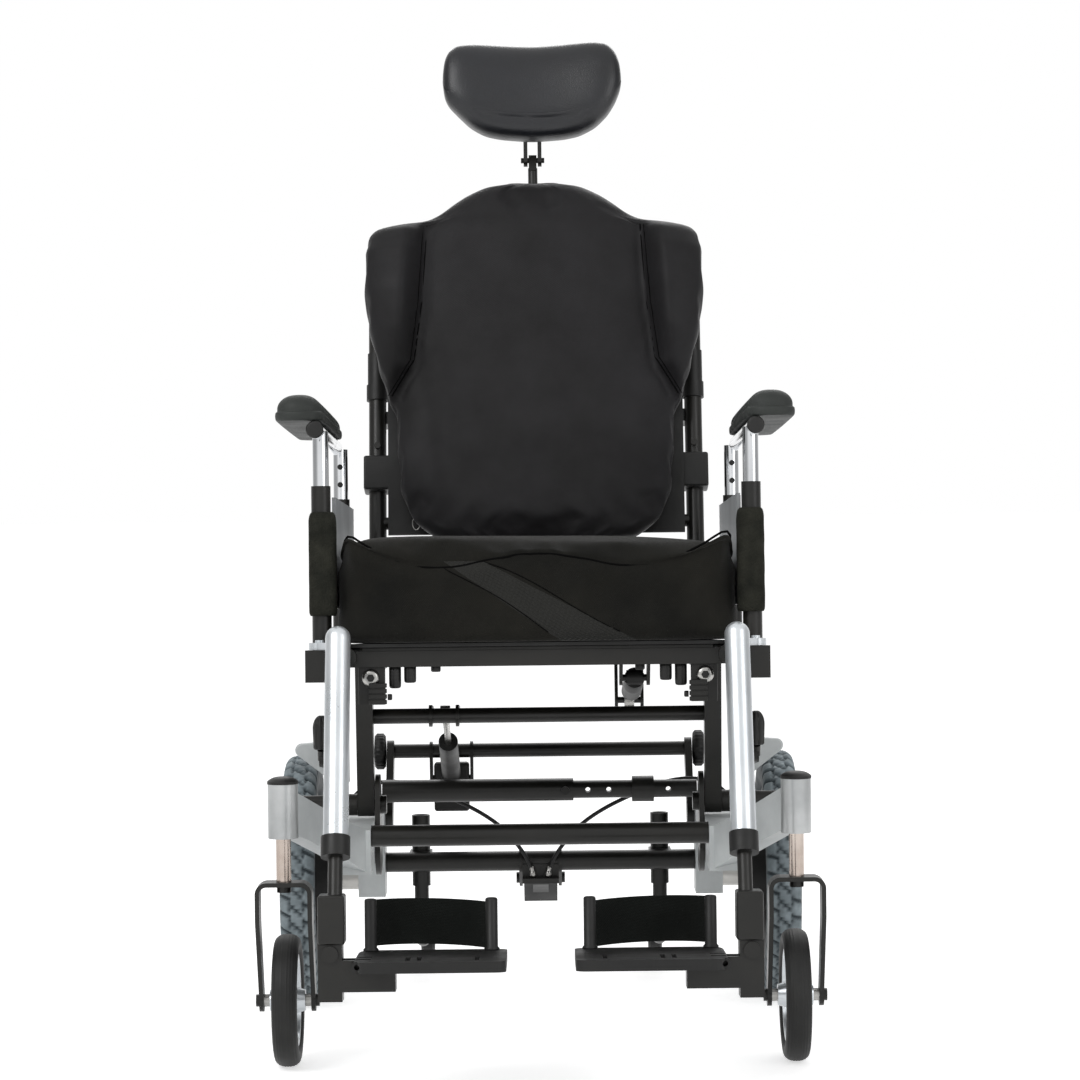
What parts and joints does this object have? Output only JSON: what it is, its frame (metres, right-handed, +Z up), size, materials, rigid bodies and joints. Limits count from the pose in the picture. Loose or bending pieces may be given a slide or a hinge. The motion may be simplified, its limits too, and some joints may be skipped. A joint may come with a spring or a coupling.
{
  "type": "tilt in space wheelchair",
  "caption": "Tilt in space wheelchair with contoured back, headrest, armrests, swing-away legrests, casters and transit wheels, pushed by an attendant.",
  "frame": {"origin": "on the floor, in the middle of the chair's box", "axes": "Z up, Y to the rear (the sitter faces -Y), X to the sitter's left"},
  "size_m": [0.648, 1.0192, 1.2168],
  "materials": {
    "silver_frame": "satin, light grey cast and painted",
    "black_frame": "satin black powder coat, fine texture",
    "brushed_aluminium": "brushed",
    "black_plastic": "moulded, fine grain",
    "axle_steel": "turned steel",
    "satin_silver": "satin silver",
    "chrome_tube": "polished",
    "caster_rubber": "grooved solid rubber",
    "grey_tyre": "blue-grey solid tyre, block tread",
    "cable_black": "smooth cable sheath",
    "arm_foam": "moulded skin foam",
    "side_foam": "textured dark grey foam",
    "grip_foam": "soft foam",
    "guard_plastic": "light grey plate",
    "seat_fabric": "black stretch knit",
    "back_fabric": "charcoal stretch fabric with soft sheen",
    "head_leather": "glossy leatherette, fine grain",
    "strap_webbing": "black webbing"
  },
  "bodies": {
    "base": {"base_side_rails": "silver_frame", "base_cross_tubes": "black_frame", "caster_housings": "brushed_aluminium", "caster_housing_caps": "black_plastic", "tilt_pivots": "black_frame", "rear_axles": "axle_steel", "wheel_lock_mounts": "silver_frame", "brake_cables": "cable_black"},
    "seat_unit": {"seat_frame": "black_frame", "seat_plate": "black_plastic", "seat_cushion": "seat_fabric", "frame_sockets": "black_frame", "side_guards": "guard_plastic", "side_foam_pads": "side_foam"},
    "back_unit": {"back_frame": "black_frame", "back_clamps": "black_plastic", "back_shell": "black_plastic", "back_cushion": "back_fabric"},
    "push_bar": {"push_bar": "black_frame", "push_grips": "grip_foam"},
    "tilt_release": {"tilt_release_lever": "black_plastic"},
    "recline_release": {"recline_release_lever": "black_plastic"},
    "headrest_stem": {"headrest_stem": "black_frame"},
    "headrest": {"headrest_pan": "black_frame", "headrest_cushion": "head_leather"},
    "rear_wheel_left": {"rear_tyre_left": "grey_tyre", "rear_wheel_left": "black_plastic"},
    "caster_left": {"caster_fork_left": "black_frame"},
    "caster_wheel_left": {"caster_tyre_left": "caster_rubber", "caster_rim_left": "satin_silver"},
    "wheel_lock_left": {"wheel_lock_lever_left": "black_frame"},
    "anti_tip_left": {"anti_tip_leg_left": "black_frame"},
    "anti_tip_wheel_left": {"anti_tip_wheel_left": "black_plastic"},
    "armrest_left": {"armrest_frame_left": "chrome_tube", "armrest_pad_left": "arm_foam"},
    "hanger_left": {"legrest_hanger_left": "satin_silver", "legrest_collar_left": "black_plastic"},
    "foot_tube_left": {"foot_tube_left": "black_frame"},
    "footplate_left": {"footplate_left": "black_plastic", "heel_strap_left": "strap_webbing"},
    "rear_wheel_right": {"rear_tyre_right": "grey_tyre", "rear_wheel_right": "black_plastic"},
    "caster_right": {"caster_fork_right": "black_frame"},
    "caster_wheel_right": {"caster_tyre_right": "caster_rubber", "caster_rim_right": "satin_silver"},
    "wheel_lock_right": {"wheel_lock_lever_right": "black_frame"},
    "anti_tip_right": {"anti_tip_leg_right": "black_frame"},
    "anti_tip_wheel_right": {"anti_tip_wheel_right": "black_plastic"},
    "armrest_right": {"armrest_frame_right": "chrome_tube", "armrest_pad_right": "arm_foam"},
    "hanger_right": {"legrest_hanger_right": "satin_silver", "legrest_collar_right": "black_plastic"},
    "foot_tube_right": {"foot_tube_right": "black_frame"},
    "footplate_right": {"footplate_right": "black_plastic", "heel_strap_right": "strap_webbing"},
    "foot_brake": {"brake_pedal": "black_plastic"},
    "tilt_cylinder": {"tilt_spring_cylinder": "black_plastic"},
    "tilt_rod": {"tilt_spring_rod": "axle_steel"},
    "recline_cylinder": {"recline_spring_cylinder": "black_plastic"},
    "recline_rod": {"recline_spring_rod": "axle_steel"}
  },
  "joints": [
    {"name": "seat_tilt", "type": "hinge", "parent": "base", "child": "seat_unit", "pos_m": [0, -0.03, 0.275], "axis": [-1, 0, 0], "range_deg": [-5, 17]},
    {"name": "back_recline", "type": "hinge", "parent": "seat_unit", "child": "back_unit", "pos_m": [0, 0.174, 0.44155], "axis": [-1, 0, 0], "range_deg": [-5, 30]},
    {"name": "push_bar_height", "type": "slide", "parent": "back_unit", "child": "push_bar", "axis": [0, 0.225, 0.9744], "range_m": [-0.02, 0.06]},
    {"name": "tilt_release_squeeze", "type": "hinge", "parent": "push_bar", "child": "tilt_release", "pos_m": [0.07, 0.39695, 0.90939], "axis": [1, 0, 0], "range_deg": [0, 12], "stiffness_Nm_per_rad": 0.4, "springref_deg": -11.46},
    {"name": "recline_release_squeeze", "type": "hinge", "parent": "push_bar", "child": "recline_release", "pos_m": [-0.07, 0.39695, 0.90939], "axis": [1, 0, 0], "range_deg": [0, 12], "stiffness_Nm_per_rad": 0.4, "springref_deg": -11.46},
    {"name": "headrest_height", "type": "slide", "parent": "back_unit", "child": "headrest_stem", "axis": [0, 0.225, 0.9744], "range_m": [-0.01, 0.07]},
    {"name": "headrest_tilt", "type": "hinge", "parent": "headrest_stem", "child": "headrest", "pos_m": [0, 0.31137, 1.0677], "axis": [-1, 0, 0], "range_deg": [-15, 15]},
    {"name": "rear_wheel_left_spin", "type": "hinge", "parent": "base", "child": "rear_wheel_left", "pos_m": [0.3, 0.23, 0.156], "axis": [1, 0, 0], "continuous": true},
    {"name": "caster_left_swivel", "type": "hinge", "parent": "base", "child": "caster_left", "pos_m": [0.288, -0.285, 0.215], "axis": [0, 0, 1], "continuous": true},
    {"name": "caster_wheel_left_spin", "type": "hinge", "parent": "caster_left", "child": "caster_wheel_left", "pos_m": [0.288, -0.245, 0.075], "axis": [1, 0, 0], "continuous": true},
    {"name": "wheel_lock_left", "type": "hinge", "parent": "base", "child": "wheel_lock_left", "pos_m": [0.26, 0.1302, 0.31402], "axis": [1, 0, 0], "range_deg": [0, 12.5]},
    {"name": "anti_tip_left_height", "type": "slide", "parent": "base", "child": "anti_tip_left", "axis": [0, 0, 1], "range_m": [-0.015, 0.03]},
    {"name": "anti_tip_wheel_left_spin", "type": "hinge", "parent": "anti_tip_left", "child": "anti_tip_wheel_left", "pos_m": [0.152, 0.4846, 0.048], "axis": [1, 0, 0], "continuous": true},
    {"name": "armrest_left_height", "type": "slide", "parent": "seat_unit", "child": "armrest_left", "axis": [0, 0.0523, 0.9986], "range_m": [-0.04, 0.05]},
    {"name": "legrest_left_swing", "type": "hinge", "parent": "seat_unit", "child": "hanger_left", "pos_m": [0.244, -0.29336, 0.46604], "axis": [0, 0.0523, 0.9986], "range_deg": [0, 90]},
    {"name": "foot_tube_left_length", "type": "slide", "parent": "hanger_left", "child": "foot_tube_left", "axis": [0, -0.3935, -0.9193], "range_m": [-0.035, 0.05]},
    {"name": "footplate_left_flip", "type": "hinge", "parent": "foot_tube_left", "child": "footplate_left", "pos_m": [0.196, -0.45713, 0.14618], "axis": [0, 0.9986, -0.0523], "range_deg": [0, 88]},
    {"name": "rear_wheel_right_spin", "type": "hinge", "parent": "base", "child": "rear_wheel_right", "pos_m": [-0.3, 0.23, 0.156], "axis": [1, 0, 0], "continuous": true},
    {"name": "caster_right_swivel", "type": "hinge", "parent": "base", "child": "caster_right", "pos_m": [-0.288, -0.285, 0.215], "axis": [0, 0, 1], "continuous": true},
    {"name": "caster_wheel_right_spin", "type": "hinge", "parent": "caster_right", "child": "caster_wheel_right", "pos_m": [-0.288, -0.245, 0.075], "axis": [1, 0, 0], "continuous": true},
    {"name": "wheel_lock_right", "type": "hinge", "parent": "base", "child": "wheel_lock_right", "pos_m": [-0.26, 0.1302, 0.31402], "axis": [1, 0, 0], "range_deg": [0, 12.5]},
    {"name": "anti_tip_right_height", "type": "slide", "parent": "base", "child": "anti_tip_right", "axis": [0, 0, 1], "range_m": [-0.015, 0.03]},
    {"name": "anti_tip_wheel_right_spin", "type": "hinge", "parent": "anti_tip_right", "child": "anti_tip_wheel_right", "pos_m": [-0.152, 0.4846, 0.048], "axis": [1, 0, 0], "continuous": true},
    {"name": "armrest_right_height", "type": "slide", "parent": "seat_unit", "child": "armrest_right", "axis": [0, 0.0523, 0.9986], "range_m": [-0.04, 0.05]},
    {"name": "legrest_right_swing", "type": "hinge", "parent": "seat_unit", "child": "hanger_right", "pos_m": [-0.244, -0.29336, 0.46604], "axis": [0, -0.0523, -0.9986], "range_deg": [0, 90]},
    {"name": "foot_tube_right_length", "type": "slide", "parent": "hanger_right", "child": "foot_tube_right", "axis": [0, -0.3935, -0.9193], "range_m": [-0.035, 0.05]},
    {"name": "footplate_right_flip", "type": "hinge", "parent": "foot_tube_right", "child": "footplate_right", "pos_m": [-0.196, -0.45713, 0.14618], "axis": [0, -0.9986, 0.0523], "range_deg": [0, 88]},
    {"name": "foot_brake_press", "type": "hinge", "parent": "base", "child": "foot_brake", "pos_m": [0, 0.262, 0.15], "axis": [-1, 0, 0], "range_deg": [0, 20]},
    {"name": "tilt_spring_pivot", "type": "hinge", "parent": "base", "child": "tilt_cylinder", "pos_m": [-0.113, 0.3, 0.275], "axis": [1, 0, 0], "range_deg": [-0.62, 2.12]},
    {"name": "tilt_spring_stroke", "type": "slide", "parent": "tilt_cylinder", "child": "tilt_rod", "axis": [0, -0.9341, 0.3569], "range_m": [-0.03514, 0.01033]},
    {"name": "recline_spring_pivot", "type": "hinge", "parent": "seat_unit", "child": "recline_cylinder", "pos_m": [0.113, -0.10409, 0.42809], "axis": [1, 0, 0], "range_deg": [-0.34, 2.04]},
    {"name": "recline_spring_stroke", "type": "slide", "parent": "recline_cylinder", "child": "recline_rod", "axis": [0, 0.9858, -0.1677], "range_m": [-0.03051, 0.00509]}
  ],
  "couplings": [
    {"joint": "tilt_spring_pivot", "follows": "seat_tilt", "ratio": 0.11986},
    {"joint": "tilt_spring_stroke", "follows": "seat_tilt", "m_per_rad": -0.11387},
    {"joint": "recline_spring_pivot", "follows": "back_recline", "ratio": 0.06532},
    {"joint": "recline_spring_stroke", "follows": "back_recline", "m_per_rad": -0.056029}
  ]
}
